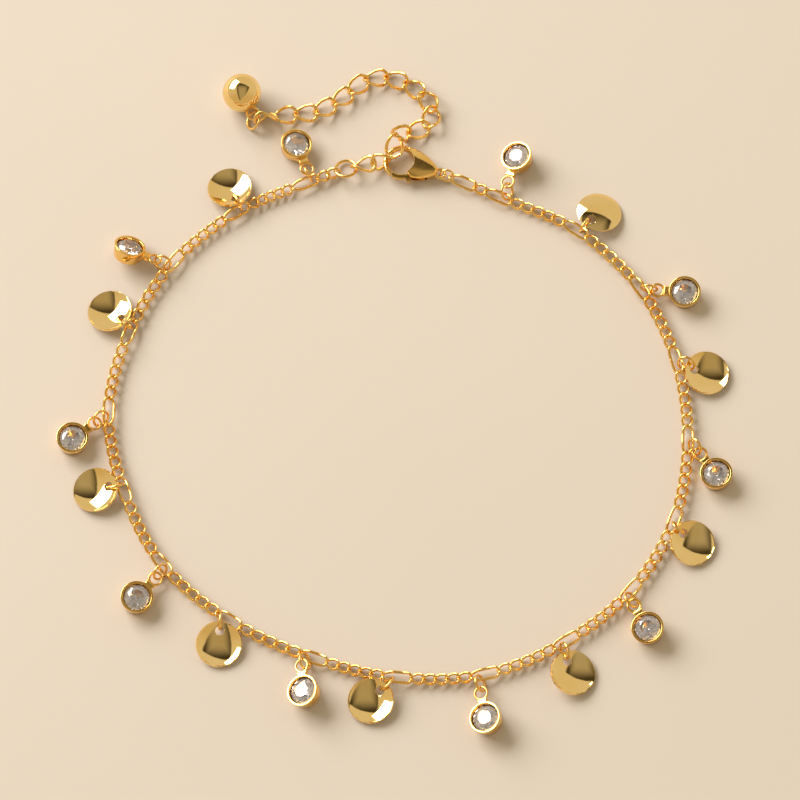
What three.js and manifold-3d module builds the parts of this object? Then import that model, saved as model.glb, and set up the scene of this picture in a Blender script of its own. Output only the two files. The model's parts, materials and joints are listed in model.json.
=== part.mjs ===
// Anklet: a closed figaro chain with stone and disc drops in turn, a lobster clasp and an extender chain.
// It lies on a flat surface. Millimetres, +Z up, X to the right and Y away from the wearer's view.

import * as THREE from 'three';
import { mergeVertices } from 'three/addons/utils/BufferGeometryUtils.js';
import Module from 'manifold-3d';

const wasm = await Module();
wasm.setup();

// Main chain
const CHAIN_WIRE = 0.4;
const LONG_LINK = { length: 4.3, width: 1.75, twist: 50, twistPower: 4, height: 0.86 };
const SMALL_LINK = { length: 2.2, width: 1.7, twist: 50, twistPower: 1 };
const SMALL_LINK_STEP = 1.5;
const RUN_TUBE = { diameter: 1.1, sides: 8, steps: 2, height: 0.6, heldAt: [0.32, 0.5, 0.68] };

// Extender chain
const EXTENDER_LINK = { length: 3.66, width: 2.7, twist: 50, twistPower: 1 };
const EXTENDER_STEP = 2.76;
const EXTENDER_WIRE = 0.46;

// Round jump rings, as the middle line's radius and the wire
const DROP_RING = { radius: 1.07, wire: 0.34 };
const END_RING = { radius: 1.43, wire: 0.42, sides: 12 };
const END_RING_PLACE = { x: -7.16, y: 32.59, z: 0.92, heading: 18, roll: -20 };
const CLASP_RING = { radius: 0.88, wire: 0.32, lean: 60 };
const BALL_RING = { radius: 1.2, wire: 0.36, x: -19.55, y: 39.56, heading: 270, lean: 47 };
const RING_CLEAR_OF_TABLE = 0.02;

// How far from its middle a long link holds its drop's ring
const RING_ALONG_LINK = 0.85;

// Stone drop: bezel cup, shoulders, bar and loop
const CUP = { base: 1.85, rim: 2.12, height: 1.85, lip: 1.78, seat: 1.22 };
const STONE = { girdle: 1.66, low: 1.3, high: 1.42, table: 1, top: 1.98, culet: 0.5, facets: 12 };
const RECESS = { radius: 0.35, floor: 0.3 };
const BAIL_HEIGHT = 0.95;
const BAIL_LOOP = { radius: 0.83, wire: 0.34 };
const BAIL_BAR = { length: 1.5, depth: 0.45, thickness: 0.7 };
const SHOULDER = { step: 0.06, neck: 0.72, foot: 1.15 };
const LOOP_TO_CUP = 3.6;

// Dished disc
const DISC = { radius: 2.85, depth: 0.75, sheet: 0.28, edge: 0.12, waist: 0.55, holeFromRim: 1.05 };
const DISC_HOLE = { radius: 0.6, drillLength: 4, drillMiddle: 0.4 };

// Ball drop
const BALL = { radius: 2.6, loop: 0.8, wire: 0.36, loopFromCentre: 2.8, loopHeight: 1.15 };
const BALL_PLACE = { x: -19.6, y: 40.5, heading: 122 };

// Lobster clasp, in its own frame: the middle of its opening is at the origin and its tail points along +X
const CLAW = { radius: 2.1, side: 0.38, rise: 0.42, from: 62, to: 248, steps: 9 };
const CLASP_THICK = 2.0;
const CLASP_EYE = { x: 5.4, radius: 0.62, wire: 0.4 };
const CLASP_BODY = {
  from: -46, to: 70, edge: 0.18, tail: { x: 4.75, half: 0.42 }, spine: { x: 3.2, y: 2.05 },
  belly: { x: 3.4, y: -1.8 },
};
const SLOT = {
  low: 0.64, high: 1.36, near: 0.2, far: 3.75, below: -4, end: { x: 3.95, y: 0.1 }, roof: { x: 2.9, y: 1.14 },
  front: { x: 1.2, y: 1.5 }, frontLow: 1,
};
const LEVER = {
  low: 0.74, high: 1.26, inset: 0.06, tip: -118, heel: -32, boss: 0.62, sweep: 4,
  tab: { reach: 3.05, near: -40, from: -46, to: -60, far: -66 },
};
const TIP_CLEARANCE = { gap: 0.1, from: 160, to: 215, sides: 64 };
const PIVOT = { x: 3.1, y: -0.75, pin: 0.22, bore: 0.34, inWall: 0.1 };
const CLASP_PLACE = { x: 0.2, y: 33.4, heading: -17 };

// Long links in order, clockwise from the clasp, each by its middle
const LONG_LINKS = [
  { x: 8.3, y: 30.7 },
  { x: 13.0, y: 28.6 },
  { x: 23.2, y: 23.9 },
  { x: 31.5, y: 15.6 },
  { x: 36.1, y: 5.4 },
  { x: 37.4, y: -5.8 },
  { x: 35.4, y: -16.9 },
  { x: 29.6, y: -26.5 },
  { x: 21.2, y: -33.3 },
  { x: 10.8, y: -37.7 },
  { x: -0.4, y: -38.1 },
  { x: -11.1, y: -35.5 },
  { x: -21.9, y: -30.4 },
  { x: -30.6, y: -22.8 },
  { x: -35.7, y: -12.8 },
  { x: -37.9, y: -1.9 },
  { x: -35.5, y: 9.1 },
  { x: -29.9, y: 19.1 },
  { x: -21.7, y: 26.3 },
  { x: -12.6, y: 30.5 },
];
const CHAIN_START = { x: 5.9, y: 31.8 };
const CHAIN_END = { x: -7.1, y: 32.6 };

// Drops in order, the first on the second long link. end says which end of the link holds the ring, 1 for the
// end further from the clasp. swing turns the drop from square to the chain, and lean turns its ring about
// that direction. out, hang and aside are distances from the link's outer rail: to the ring's middle, to the near
// side of the stone's loop or the middle of the disc's hole, and sideways. roll and pitch tip the drop.
// Degrees and millimetres.
const DROPS = [
  { kind: 'stone', end: 1, swing: 2, lean: 51, out: 0.39, hang: 0.84, aside: 0.11, roll: -18, pitch: 3 },
  { kind: 'domed', end: 1, swing: -3, lean: 88, out: 0.28, hang: 1.43, aside: -0.23, roll: 0, pitch: 12 },
  { kind: 'stone', end: 1, swing: -42, lean: -88, out: 0.22, hang: 0.54, aside: 0.06, roll: 6, pitch: 2 },
  { kind: 'disc', end: 1, swing: -32, lean: 60, out: 0.46, hang: 1.5, aside: -0.33, roll: 0, pitch: 7 },
  { kind: 'stone', end: 1, swing: -54, lean: 63, out: 0.33, hang: 0.67, aside: 0.14, roll: 4, pitch: 2 },
  { kind: 'disc', end: 1, swing: -27, lean: -65, out: 0.21, hang: 0.99, aside: -0.03, roll: -2, pitch: 11 },
  { kind: 'stone', end: 1, swing: -20, lean: -47, out: 0.25, hang: 0.33, aside: 0.05, roll: 12, pitch: 1 },
  { kind: 'disc', end: 1, swing: -8, lean: 70, out: 0.45, hang: 1.61, aside: -0.31, roll: -12, pitch: 6 },
  { kind: 'stone', end: 1, swing: -1, lean: -56, out: 0.46, hang: 1.09, aside: 0.14, roll: 20, pitch: 5 },
  { kind: 'disc', end: 1, swing: -36, lean: 66, out: 0.49, hang: 1.65, aside: -0.09, roll: 0, pitch: 8 },
  { kind: 'stone', end: 1, swing: 26, lean: -53, out: 0.21, hang: 0.1, aside: -0.1, roll: 24, pitch: 4 },
  { kind: 'disc', end: 1, swing: 30, lean: 87, out: 0.24, hang: 1.37, aside: 0.02, roll: -3, pitch: 11 },
  { kind: 'stone', end: -1, swing: 11, lean: -67, out: 0.25, hang: 0.52, aside: 0, roll: -8, pitch: 2 },
  { kind: 'disc', end: 1, swing: -6, lean: 62, out: 0.2, hang: 0.97, aside: -0.09, roll: 0, pitch: 12 },
  { kind: 'stone', end: -1, swing: 40, lean: -59, out: 0.4, hang: 0.64, aside: -0.12, roll: -3, pitch: 2 },
  { kind: 'disc', end: 1, swing: -16, lean: 62, out: 0.26, hang: 1.19, aside: -0.29, roll: 0, pitch: 9 },
  { kind: 'stone', end: -1, swing: 23, lean: -58, out: 0.33, hang: 0.74, aside: 0.34, roll: 32, pitch: 8 },
  { kind: 'disc', end: 1, swing: -6, lean: 88, out: 0.2, hang: 0.97, aside: -0.05, roll: 0, pitch: 10 },
  { kind: 'stone', end: 1, swing: 2, lean: 77, out: 0.25, hang: 0.22, aside: 0.01, roll: 11, pitch: 1 },
];

// Extender links in order from the end ring. heading is the link's direction in plan, climb its rise and roll
// its turn about its own length, in degrees. lift raises the start of the next link. The clasp holds the
// second link.
const EXTENDER_START = { x: -6.22, y: 32.8, z: 0.97 };
const EXTENDER_LINKS = [
  { heading: 9, climb: 4, roll: -25, lift: 0 },
  { heading: 16, climb: 5, roll: 74, lift: 0.67 },
  { heading: 83, climb: 11, roll: 21, lift: 0 },
  { heading: 33, climb: -43, roll: 16, lift: 0 },
  { heading: 19, climb: 5, roll: 14, lift: 0 },
  { heading: 72, climb: -2, roll: 5, lift: 0 },
  { heading: 126, climb: 0, roll: -7, lift: 0 },
  { heading: 143, climb: 0, roll: 2, lift: 0 },
  { heading: 163, climb: 0, roll: -4, lift: 0 },
  { heading: 187, climb: 0, roll: 4, lift: 0 },
  { heading: 223, climb: 0, roll: -5, lift: 0 },
  { heading: 218, climb: 0, roll: 3, lift: 0 },
  { heading: 208, climb: 0, roll: -4, lift: 0 },
  { heading: 184, climb: 0, roll: 2, lift: 0 },
  { heading: 189, climb: 0, roll: 3, lift: 0 },
  { heading: 197, climb: 24, roll: 74, lift: 0 },
];

const ROUND = { ring: 10, wire: 5, cup: 12, disc: 12, ball: 12 };
const RAD = Math.PI / 180;

// The middle line of an oval link. Each end is turned about the link's length, one way and the other, so
// that the next link passes through. Steps are even in angle, so the round ends get most of them.
class TwistedOval extends THREE.Curve {
  constructor(link, wire) {
    super();
    this.halfLength = (link.length - wire) / 2;
    this.halfWidth = (link.width - wire) / 2;
    this.twist = link.twist * RAD;
    this.power = link.twistPower;
  }

  getPoint(t, target = new THREE.Vector3()) {
    const along = squared(Math.cos(2 * Math.PI * t));
    const across = this.halfWidth * squared(Math.sin(2 * Math.PI * t));
    const turn = this.twist * Math.sign(along) * Math.abs(along) ** this.power;
    return target.set(this.halfLength * along, across * Math.cos(turn), across * Math.sin(turn));
  }

  getPointAt(u, target) {
    return this.getPoint(u, target);
  }

  getTangentAt(u, target) {
    return this.getTangent(u, target);
  }
}

// Fills out a circle's sine or cosine towards a rectangle with round corners
function squared(value) {
  return Math.sign(value) * Math.abs(value) ** 0.75;
}

function toSolid(geometry) {
  const bare = geometry.clone();
  bare.deleteAttribute('normal');
  bare.deleteAttribute('uv');
  const merged = mergeVertices(bare, 1e-5);
  return new wasm.Manifold(new wasm.Mesh({
    numProp: 3,
    vertProperties: Float32Array.from(merged.attributes.position.array),
    triVerts: Uint32Array.from(merged.index.array),
  }));
}

function toGeometry(solid) {
  const mesh = solid.getMesh();
  const geometry = new THREE.BufferGeometry();
  geometry.setAttribute('position', new THREE.BufferAttribute(mesh.vertProperties, 3));
  geometry.setIndex(new THREE.BufferAttribute(mesh.triVerts, 1));
  geometry.computeVertexNormals();
  return geometry;
}

// Joins solids into one, and fills any sealed hollow that is left where wires meet
function fuse(geometries) {
  const joined = geometries.map(toSolid).reduce((whole, next) => whole.add(next));
  const bodies = joined.decompose().filter((body) => body.volume() > 0);
  return bodies.reduce((whole, next) => whole.add(next));
}

function regularShape(radius, sides) {
  const points = [];
  for (let i = 0; i < sides; i += 1) {
    const angle = (2 * Math.PI * i) / sides;
    points.push(new THREE.Vector2(radius * Math.cos(angle), radius * Math.sin(angle)));
  }
  return new THREE.Shape(points);
}

// The tube runs round to its own start, so it has no open ends
function linkGeometry(link, wire, segments) {
  const closesOnItself = true;
  return new THREE.TubeGeometry(new TwistedOval(link, wire), segments, wire / 2, ROUND.wire, closesOnItself);
}

function torus(ring, segments = ROUND.ring) {
  return new THREE.TorusGeometry(ring.radius, ring.wire / 2, ROUND.wire, segments);
}

// A place and a direction: heading in plan, climb above it and roll about it
function placing(x, y, z, heading, climb = 0, roll = 0) {
  const turn = new THREE.Euler(roll * RAD, -climb * RAD, heading * RAD, 'ZYX');
  const matrix = new THREE.Matrix4().makeRotationFromEuler(turn);
  return matrix.setPosition(x, y, z);
}

const material = {
  gold: () => new THREE.MeshStandardMaterial({ color: 0xd9a548, roughness: 0.24, metalness: 1 }),
  polished: () => new THREE.MeshStandardMaterial({ color: 0xdcae58, roughness: 0.1, metalness: 1 }),
  crystal: () => new THREE.MeshStandardMaterial({ color: 0xe9e6ec, roughness: 0.03, metalness: 0 }),
};

const anklet = new THREE.Group();

function addMesh(name, geometry, matrix, surface, parent = anklet) {
  const mesh = new THREE.Mesh(geometry, surface());
  mesh.name = name;
  mesh.applyMatrix4(matrix);
  parent.add(mesh);
  return mesh;
}

// The smooth line through the long links, from the clasp round to the end ring
const route = new THREE.CatmullRomCurve3(
  [CHAIN_START, ...LONG_LINKS, CHAIN_END].map((row) => new THREE.Vector3(row.x, row.y, 0)),
);

function routeParameter(index) {
  return (index + 1) / (LONG_LINKS.length + 1);
}

function linkHeading(index) {
  const tangent = route.getTangent(routeParameter(index));
  return Math.atan2(tangent.y, tangent.x) / RAD;
}

// The middle of the wire at one end of a long link
function linkEnd(index, end) {
  const heading = linkHeading(index) * RAD;
  const reach = (end * (LONG_LINK.length - CHAIN_WIRE)) / 2;
  const { x, y } = LONG_LINKS[index];
  return new THREE.Vector3(x + reach * Math.cos(heading), y + reach * Math.sin(heading), LONG_LINK.height);
}

// A plain round run between two long links, where the chain's finest links lie
function runTube(index) {
  const from = routeParameter(index);
  const to = routeParameter(index + 1);
  const inner = RUN_TUBE.heldAt.map((share) => {
    const point = route.getPoint(from + (to - from) * share);
    return point.setZ(RUN_TUBE.height);
  });
  const path = new THREE.CatmullRomCurve3([linkEnd(index, 1), ...inner, linkEnd(index + 1, -1)]);
  return new THREE.ExtrudeGeometry(regularShape(RUN_TUBE.diameter / 2, RUN_TUBE.sides), {
    steps: RUN_TUBE.steps,
    bevelEnabled: false,
    extrudePath: path,
  });
}

// Small links in a row from one end of a long link, each through the one before
function smallLinks(index, rolls) {
  const heading = linkHeading(index);
  const start = linkEnd(index, 1);
  const half = (SMALL_LINK.length - CHAIN_WIRE) / 2;
  const overlap = 2 * half - SMALL_LINK_STEP;
  const toNext = Math.atan2(nextPoint(index).y - start.y, nextPoint(index).x - start.x);
  return rolls.map((roll, step) => {
    const reach = half - overlap + step * SMALL_LINK_STEP;
    const matrix = placing(
      start.x + reach * Math.cos(toNext),
      start.y + reach * Math.sin(toNext),
      LONG_LINK.height,
      step === 0 ? heading : toNext / RAD,
      0,
      roll,
    );
    return linkGeometry(SMALL_LINK, CHAIN_WIRE, ROUND.ring).applyMatrix4(matrix);
  });
}

function nextPoint(index) {
  return index + 1 < LONG_LINKS.length ? linkEnd(index + 1, -1) : CHAIN_END;
}

function addMainChain() {
  const pieces = [];
  LONG_LINKS.forEach((row, index) => {
    const link = linkGeometry(LONG_LINK, CHAIN_WIRE, ROUND.ring);
    pieces.push(link.applyMatrix4(placing(row.x, row.y, LONG_LINK.height, linkHeading(index))));
    if (index > 0 && index < LONG_LINKS.length - 1) {
      pieces.push(runTube(index));
    }
  });
  pieces.push(...smallLinks(0, [0]));
  pieces.push(...smallLinks(LONG_LINKS.length - 1, [0, 35]));
  addMesh('main_chain', toGeometry(fuse(pieces)), new THREE.Matrix4(), material.gold);
}

// Lays the extender link by link, each from the end of the one before
function addExtender() {
  const joint = new THREE.Vector3(EXTENDER_START.x, EXTENDER_START.y, EXTENDER_START.z);
  const pieces = EXTENDER_LINKS.map((row) => {
    const flat = EXTENDER_STEP * Math.cos(row.climb * RAD);
    const step = new THREE.Vector3(
      flat * Math.cos(row.heading * RAD),
      flat * Math.sin(row.heading * RAD),
      EXTENDER_STEP * Math.sin(row.climb * RAD),
    );
    const middle = joint.clone().addScaledVector(step, 0.5);
    joint.add(step);
    joint.z += row.lift;
    const link = linkGeometry(EXTENDER_LINK, EXTENDER_WIRE, ROUND.ring);
    return link.applyMatrix4(placing(middle.x, middle.y, middle.z, row.heading, row.climb, row.roll));
  });
  addMesh('extender_chain', toGeometry(fuse(pieces)), new THREE.Matrix4(), material.gold);
}

// A ring that leans about its heading, low enough to touch the surface
function leaningRing(name, ring, x, y, heading, lean, parent = anklet, segments = ROUND.ring) {
  const tilt = Math.abs(Math.sin(lean * RAD));
  const z = ring.radius * tilt + ring.wire / 2 + RING_CLEAR_OF_TABLE;
  addMesh(name, torus(ring, segments), placing(x, y, z, heading, 0, lean), material.gold, parent);
}

function latheSolid(profile, segments) {
  const points = profile.map(([radius, height]) => new THREE.Vector2(radius, height));
  const geometry = new THREE.LatheGeometry(points, segments);
  return geometry.rotateX(Math.PI / 2);
}

function cupGeometry() {
  return latheSolid([
    [0, 0],
    [CUP.base, 0],
    [CUP.rim, CUP.height],
    [CUP.lip, CUP.height],
    [CUP.lip, CUP.seat],
    [RECESS.radius, RECESS.floor],
    [0, RECESS.floor],
  ], ROUND.cup);
}

function stoneGeometry() {
  return latheSolid([
    [0, STONE.culet],
    [STONE.girdle, STONE.low],
    [STONE.girdle, STONE.high],
    [STONE.table, STONE.top],
    [0, STONE.top],
  ], STONE.facets);
}

// Shoulders that run from the cup's side in to the flat bar, drawn in plan and given the bar's thickness
function shoulderGeometry() {
  const barFrom = BAIL_LOOP.radius;
  const barTo = barFrom + BAIL_BAR.depth;
  const half = BAIL_BAR.length / 2;
  const insideCup = LOOP_TO_CUP - CUP.base;
  const shape = new THREE.Shape();
  shape.moveTo(barFrom, -half);
  shape.lineTo(barTo, -half);
  shape.lineTo(barTo + SHOULDER.step, -half * SHOULDER.neck);
  shape.lineTo(insideCup, -half * SHOULDER.foot);
  shape.lineTo(insideCup, half * SHOULDER.foot);
  shape.lineTo(barTo + SHOULDER.step, half * SHOULDER.neck);
  shape.lineTo(barTo, half);
  shape.lineTo(barFrom, half);
  const body = new THREE.ExtrudeGeometry(shape, { depth: BAIL_BAR.thickness, bevelEnabled: false });
  return body.translate(0, 0, BAIL_HEIGHT - BAIL_BAR.thickness / 2);
}

// Cup, shoulders, bar and loop in one, with the loop's middle over the origin and the cup out along +X
function bezelSolid() {
  const cup = cupGeometry().translate(LOOP_TO_CUP, 0, 0);
  const loop = torus(BAIL_LOOP).translate(0, 0, BAIL_HEIGHT);
  const recess = latheSolid([
    [0, RECESS.floor],
    [RECESS.radius, RECESS.floor],
    [CUP.lip, CUP.seat],
    [CUP.lip, CUP.height + 1],
    [0, CUP.height + 1],
  ], ROUND.cup).translate(LOOP_TO_CUP, 0, 0);
  return fuse([cup, loop, shoulderGeometry()]).subtract(toSolid(recess));
}

function lowestPoint(geometry, matrix) {
  const tipped = geometry.clone().applyMatrix4(matrix);
  tipped.computeBoundingBox();
  return tipped.boundingBox.min.z;
}

// A stone drop, tipped by its roll and pitch until it touches the surface
function addStoneDrop(number, row, place) {
  const bezel = toGeometry(bezelSolid());
  const tip = placing(0, 0, 0, 0, row.pitch, row.roll);
  const drop = new THREE.Group();
  drop.applyMatrix4(tip);
  drop.position.set(row.hang + BAIL_LOOP.radius, row.aside, -lowestPoint(bezel, tip));
  addMesh(`bezel_${number}`, bezel, new THREE.Matrix4(), material.gold, drop);
  addMesh(`stone_${number}`, stoneGeometry(), placing(LOOP_TO_CUP, 0, 0, 0), material.crystal, drop);
  place.add(drop);
}

// A dished sheet disc with its hole on the -X side and its lowest point at the origin
function discGeometry() {
  const bend = (DISC.radius ** 2 + DISC.depth ** 2) / (2 * DISC.depth);
  const rise = (radius, inset) => bend - Math.sqrt((bend - inset) ** 2 - radius ** 2);
  const inner = DISC.radius - DISC.edge;
  const half = DISC.radius * DISC.waist;
  const dish = latheSolid([
    [0, 0],
    [half, rise(half, 0)],
    [DISC.radius, DISC.depth],
    [inner, rise(inner, DISC.sheet)],
    [half, rise(half, DISC.sheet)],
    [0, DISC.sheet],
  ], ROUND.disc);
  const { radius: drillRadius, drillLength, drillMiddle } = DISC_HOLE;
  const drill = new THREE.CylinderGeometry(drillRadius, drillRadius, drillLength, ROUND.ring);
  const slope = Math.asin((DISC.radius - DISC.holeFromRim) / bend);
  drill.rotateX(Math.PI / 2).rotateY(slope).translate(DISC.holeFromRim - DISC.radius, 0, drillMiddle);
  return { geometry: toGeometry(toSolid(dish).subtract(toSolid(drill))), bend };
}

// A disc lies on its curved back, or domed side up on its edge, with its hole round the far side of its ring
function addDiscDrop(number, row, place) {
  const { geometry, bend } = discGeometry();
  const domeUp = row.kind === 'domed';
  const reach = DISC.radius - DISC.holeFromRim;
  const slope = Math.asin(reach / bend);
  const holeHeight = bend * (1 - Math.cos(slope)) + DISC.sheet / 2;
  const pitch = row.pitch * RAD;
  const tip = placing(0, 0, 0, 0, -row.pitch, row.roll + (domeUp ? 180 : 0));
  const fromHole = domeUp
    ? reach * Math.cos(pitch) + holeHeight * Math.sin(pitch)
    : bend * (Math.sin(slope + pitch) - Math.sin(pitch));
  tip.setPosition(row.hang + fromHole, row.aside, -lowestPoint(geometry, tip));
  addMesh(`disc_${number}`, geometry, tip, material.polished, place);
}

function addDrops() {
  DROPS.forEach((row, index) => {
    const link = index + 1;
    const number = String(link).padStart(2, '0');
    const { x, y } = LONG_LINKS[link];
    const along = linkHeading(link) * RAD;
    const outward = along + Math.PI / 2;
    const railOut = (LONG_LINK.width - CHAIN_WIRE) / 2;
    const place = new THREE.Group();
    place.position.set(
      x + row.end * RING_ALONG_LINK * Math.cos(along) + railOut * Math.cos(outward),
      y + row.end * RING_ALONG_LINK * Math.sin(along) + railOut * Math.sin(outward),
      0,
    );
    place.rotation.z = outward + row.swing * RAD;
    leaningRing(`drop_ring_${number}`, DROP_RING, row.out, 0, 0, row.lean, place);
    if (row.kind === 'stone') {
      addStoneDrop(number, row, place);
    } else {
      addDiscDrop(number, row, place);
    }
    anklet.add(place);
  });
}

function addBallDrop() {
  leaningRing('ball_ring', BALL_RING, BALL_RING.x, BALL_RING.y, BALL_RING.heading, BALL_RING.lean);
  const ball = new THREE.SphereGeometry(BALL.radius, ROUND.ball, ROUND.ball / 2 + 1);
  ball.translate(BALL.loopFromCentre, 0, BALL.radius);
  const loop = torus({ radius: BALL.loop, wire: BALL.wire }).translate(0, 0, BALL.loopHeight);
  const matrix = placing(BALL_PLACE.x, BALL_PLACE.y, 0, BALL_PLACE.heading);
  addMesh('ball_drop', toGeometry(fuse([ball, loop])), matrix, material.polished);
}

function polar(radius, degrees) {
  return [radius * Math.cos(degrees * RAD), radius * Math.sin(degrees * RAD)];
}

// The hook: an oval section swept round the claw's opening from the body to the tip
function hookGeometry() {
  const points = [];
  for (let step = 0; step <= CLAW.steps; step += 1) {
    const angle = CLAW.from + ((CLAW.to - CLAW.from) * step) / CLAW.steps;
    points.push(new THREE.Vector3(...polar(CLAW.radius, angle), 0));
  }
  const section = new THREE.Shape(regularShape(1, 8).getPoints().map(
    (point) => new THREE.Vector2(point.x * CLAW.rise, point.y * CLAW.side),
  ));
  return new THREE.ExtrudeGeometry(section, {
    steps: CLAW.steps,
    bevelEnabled: false,
    extrudePath: new THREE.CatmullRomCurve3(points),
  }).translate(0, 0, CLASP_THICK / 2);
}

// The body's outline in plan: wide at the claw, narrowing to the tail
function bodyShape() {
  const outer = CLAW.radius + CLAW.side - CLASP_BODY.edge;
  const inner = CLAW.radius - CLAW.side + CLASP_BODY.edge;
  const { from, to, tail, spine, belly } = CLASP_BODY;
  const shape = new THREE.Shape();
  shape.moveTo(...polar(outer, to));
  shape.quadraticCurveTo(spine.x, spine.y, tail.x, tail.half);
  shape.lineTo(tail.x, -tail.half);
  shape.quadraticCurveTo(belly.x, belly.y, ...polar(outer, from));
  shape.lineTo(...polar(inner, from));
  shape.absarc(0, 0, inner, from * RAD, to * RAD, false);
  return shape;
}

function flatPlate(shape, low, high, edge = 0) {
  const plate = new THREE.ExtrudeGeometry(shape, {
    depth: high - low - 2 * edge,
    curveSegments: 7,
    bevelEnabled: edge > 0,
    bevelThickness: edge,
    bevelSize: edge,
    bevelSegments: 1,
  });
  return plate.translate(0, 0, low + edge);
}

// The slot that takes the lever: open to the claw's opening and below, closed at the spine and the tail
function slotShape() {
  const shape = new THREE.Shape();
  shape.moveTo(SLOT.near, SLOT.below);
  shape.lineTo(SLOT.far, SLOT.below);
  shape.lineTo(SLOT.end.x, SLOT.end.y);
  shape.quadraticCurveTo(SLOT.roof.x, SLOT.roof.y, SLOT.front.x, SLOT.front.y);
  shape.lineTo(SLOT.near, SLOT.frontLow);
  return shape;
}

function roundPlate(x, y, radius, low, high, sides = 10) {
  return flatPlate(regularShape(radius, sides), low, high).translate(x, y, 0);
}

// The wedge about the pin that the lever's tip swings through, with a gap to spare
function tipSweep() {
  const shape = new THREE.Shape();
  shape.moveTo(PIVOT.x, PIVOT.y);
  const { from, to, gap } = TIP_CLEARANCE;
  shape.absarc(PIVOT.x, PIVOT.y, LEVER.sweep + gap, from * RAD, to * RAD, false);
  return toSolid(flatPlate(shape, 0, CLASP_THICK));
}

function claspBodyGeometry() {
  const body = toSolid(flatPlate(bodyShape(), 0, CLASP_THICK, CLASP_BODY.edge));
  const slotted = body.subtract(toSolid(flatPlate(slotShape(), SLOT.low, SLOT.high)));
  const hook = toSolid(hookGeometry()).subtract(tipSweep());
  const { x, y, pin: radius, inWall } = PIVOT;
  const pin = roundPlate(x, y, radius, SLOT.low - inWall, SLOT.high + inWall);
  const eye = torus(CLASP_EYE).translate(CLASP_EYE.x, 0, CLASP_THICK / 2);
  return toGeometry(slotted.add(hook).add(toSolid(pin)).add(toSolid(eye)));
}

// The lever: an arm that closes the claw, a boss round the pivot and a tab for the thumb
function leverGeometry() {
  const outer = CLAW.radius + CLAW.side - LEVER.inset;
  const inner = CLAW.radius - CLAW.side + LEVER.inset;
  const { x, y } = PIVOT;
  const { tip, heel, boss, tab, low, high } = LEVER;
  const shape = new THREE.Shape();
  shape.moveTo(...polar(inner, tip));
  shape.absarc(0, 0, inner, tip * RAD, heel * RAD, false);
  shape.lineTo(x - boss / 6, y + boss);
  shape.lineTo(x + boss, y);
  shape.lineTo(x + boss / 3, y - boss);
  shape.lineTo(...polar(outer + LEVER.inset, tab.near));
  shape.lineTo(...polar(tab.reach, tab.from));
  shape.lineTo(...polar(tab.reach, tab.to));
  shape.absarc(0, 0, outer, tab.far * RAD, tip * RAD, true);
  const arm = toSolid(flatPlate(shape, low, high));
  const swing = toSolid(roundPlate(x, y, LEVER.sweep, 0, CLASP_THICK, TIP_CLEARANCE.sides));
  const bore = toSolid(roundPlate(x, y, PIVOT.bore, 0, CLASP_THICK));
  return toGeometry(arm.intersect(swing).subtract(bore));
}

function addClasp() {
  const clasp = new THREE.Group();
  clasp.applyMatrix4(placing(CLASP_PLACE.x, CLASP_PLACE.y, 0, CLASP_PLACE.heading));
  addMesh('clasp_body', claspBodyGeometry(), new THREE.Matrix4(), material.gold, clasp);
  addMesh('clasp_lever', leverGeometry(), new THREE.Matrix4(), material.gold, clasp);
  anklet.add(clasp);
}

// The ring between the clasp's tail eye and the first long link
function addClaspRing() {
  const heading = CLASP_PLACE.heading * RAD;
  const eyeEdge = CLASP_EYE.x + CLASP_EYE.radius;
  const eyeX = CLASP_PLACE.x + eyeEdge * Math.cos(heading);
  const eyeY = CLASP_PLACE.y + eyeEdge * Math.sin(heading);
  const link = linkEnd(0, -1);
  const towards = Math.atan2(link.y - eyeY, link.x - eyeX) / RAD;
  leaningRing('clasp_ring', CLASP_RING, (eyeX + link.x) / 2, (eyeY + link.y) / 2, towards, CLASP_RING.lean);
}

function addEndRing() {
  const { x, y, z, heading, roll } = END_RING_PLACE;
  addMesh('end_ring', torus(END_RING, END_RING.sides), placing(x, y, z, heading, 0, roll), material.gold);
}

addMainChain();
addDrops();
addExtender();
addBallDrop();
addClasp();
addClaspRing();
addEndRing();

// The origin is the middle of the whole anklet's footprint, on the surface
anklet.updateMatrixWorld(true);
const extent = new THREE.Box3().setFromObject(anklet, true);
const middle = extent.getCenter(new THREE.Vector3());
anklet.position.set(-middle.x, -middle.y, -extent.min.z);
anklet.updateMatrixWorld(true);

export default anklet;
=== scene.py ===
"""Looks of the gold-plated anklet: chain, clasp, stone drops, dished discs, extender and ball."""

import json
import math

import bmesh
import bpy
from mathutils import Matrix, Vector

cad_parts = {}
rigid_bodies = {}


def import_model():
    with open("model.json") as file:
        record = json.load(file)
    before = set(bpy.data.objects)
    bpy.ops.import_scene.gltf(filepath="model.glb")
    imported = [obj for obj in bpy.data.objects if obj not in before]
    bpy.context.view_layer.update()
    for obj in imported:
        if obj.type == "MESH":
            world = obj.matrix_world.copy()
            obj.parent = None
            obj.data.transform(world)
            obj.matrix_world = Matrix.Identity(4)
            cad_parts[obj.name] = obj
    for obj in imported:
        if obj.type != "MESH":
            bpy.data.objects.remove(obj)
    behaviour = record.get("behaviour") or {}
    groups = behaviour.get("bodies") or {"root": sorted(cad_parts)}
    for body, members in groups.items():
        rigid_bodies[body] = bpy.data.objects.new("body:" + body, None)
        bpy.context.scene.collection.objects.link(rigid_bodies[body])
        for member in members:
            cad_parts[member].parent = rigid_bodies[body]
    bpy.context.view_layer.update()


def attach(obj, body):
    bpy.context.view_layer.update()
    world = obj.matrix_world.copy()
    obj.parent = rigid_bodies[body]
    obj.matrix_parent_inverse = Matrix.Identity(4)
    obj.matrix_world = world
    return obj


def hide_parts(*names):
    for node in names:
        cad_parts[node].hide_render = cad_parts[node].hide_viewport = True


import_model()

# Everything below is in millimetres until a piece is placed
MM = 0.001
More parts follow.
